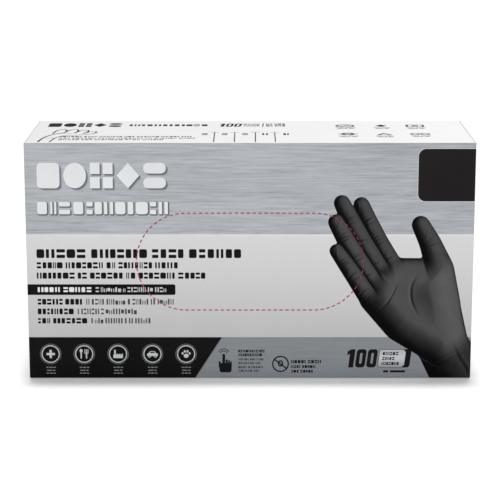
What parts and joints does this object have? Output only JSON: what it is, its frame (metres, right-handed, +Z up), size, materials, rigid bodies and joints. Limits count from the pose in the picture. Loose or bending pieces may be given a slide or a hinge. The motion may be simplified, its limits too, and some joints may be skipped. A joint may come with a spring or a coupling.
{
  "type": "disposable glove dispenser box",
  "caption": "Folded paperboard dispenser box of flat disposable gloves, with a perforated tear-out opening in its long face and a tuck flap over dust flaps at each end.",
  "frame": {"origin": "middle of the base, on the surface the box stands on", "axes": "+Z up; the printed face with the tear-out opening looks along -Y; X along the box's long side, with the left end of the printed face at -X"},
  "size_m": [0.24, 0.075, 0.13],
  "materials": {
    "carton_board": "coated folding board, printed outside, plain grey-white inside",
    "seam_glue": "matte",
    "glove_film": "satin black nitrile film, textured at the fingertips"
  },
  "bodies": {
    "carton": {"front_panel": "carton_board", "back_panel": "carton_board", "top_panel": "carton_board", "bottom_panel": "carton_board", "glue_flap": "carton_board", "seam_glue": "seam_glue", "top_glove": "glove_film", "glove_stack_1": "glove_film", "glove_stack_2": "glove_film", "glove_stack_3": "glove_film", "glove_stack_4": "glove_film", "glove_stack_5": "glove_film", "glove_stack_6": "glove_film", "glove_stack_7": "glove_film", "glove_stack_8": "glove_film", "glove_stack_9": "glove_film"},
    "tear_panel": {"tear_out_panel": "carton_board"},
    "left_tuck": {"left_tuck_flap": "carton_board", "left_tuck_lip": "carton_board"},
    "left_upper_dust": {"left_upper_dust_flap": "carton_board"},
    "left_lower_dust": {"left_lower_dust_flap": "carton_board"},
    "right_tuck": {"right_tuck_flap": "carton_board", "right_tuck_lip": "carton_board"},
    "right_upper_dust": {"right_upper_dust_flap": "carton_board"},
    "right_lower_dust": {"right_lower_dust_flap": "carton_board"}
  },
  "joints": [
    {"name": "tear_panel_pull", "type": "slide", "parent": "carton", "child": "tear_panel", "axis": [0, -1, 0], "range_m": [0, 0.08]},
    {"name": "left_tuck_hinge", "type": "hinge", "parent": "carton", "child": "left_tuck", "pos_m": [-0.11975, -0.03725, 0.065], "axis": [0, 0, 1], "range_deg": [0, 150]},
    {"name": "left_upper_dust_hinge", "type": "hinge", "parent": "carton", "child": "left_upper_dust", "pos_m": [-0.11915, 0, 0.12975], "axis": [0, 1, 0], "range_deg": [0, 90]},
    {"name": "left_lower_dust_hinge", "type": "hinge", "parent": "carton", "child": "left_lower_dust", "pos_m": [-0.11915, 0, 0.00025], "axis": [0, -1, 0], "range_deg": [0, 90]},
    {"name": "right_tuck_hinge", "type": "hinge", "parent": "carton", "child": "right_tuck", "pos_m": [0.11975, -0.03725, 0.065], "axis": [0, 0, -1], "range_deg": [0, 150]},
    {"name": "right_upper_dust_hinge", "type": "hinge", "parent": "carton", "child": "right_upper_dust", "pos_m": [0.11915, 0, 0.12975], "axis": [0, -1, 0], "range_deg": [0, 90]},
    {"name": "right_lower_dust_hinge", "type": "hinge", "parent": "carton", "child": "right_lower_dust", "pos_m": [0.11915, 0, 0.00025], "axis": [0, 1, 0], "range_deg": [0, 90]}
  ],
  "couplings": [
    {"joint": "left_upper_dust_hinge", "follows": "left_tuck_hinge", "ratio": 0.6},
    {"joint": "left_lower_dust_hinge", "follows": "left_tuck_hinge", "ratio": 0.6},
    {"joint": "right_upper_dust_hinge", "follows": "right_tuck_hinge", "ratio": 0.6},
    {"joint": "right_lower_dust_hinge", "follows": "right_tuck_hinge", "ratio": 0.6}
  ]
}
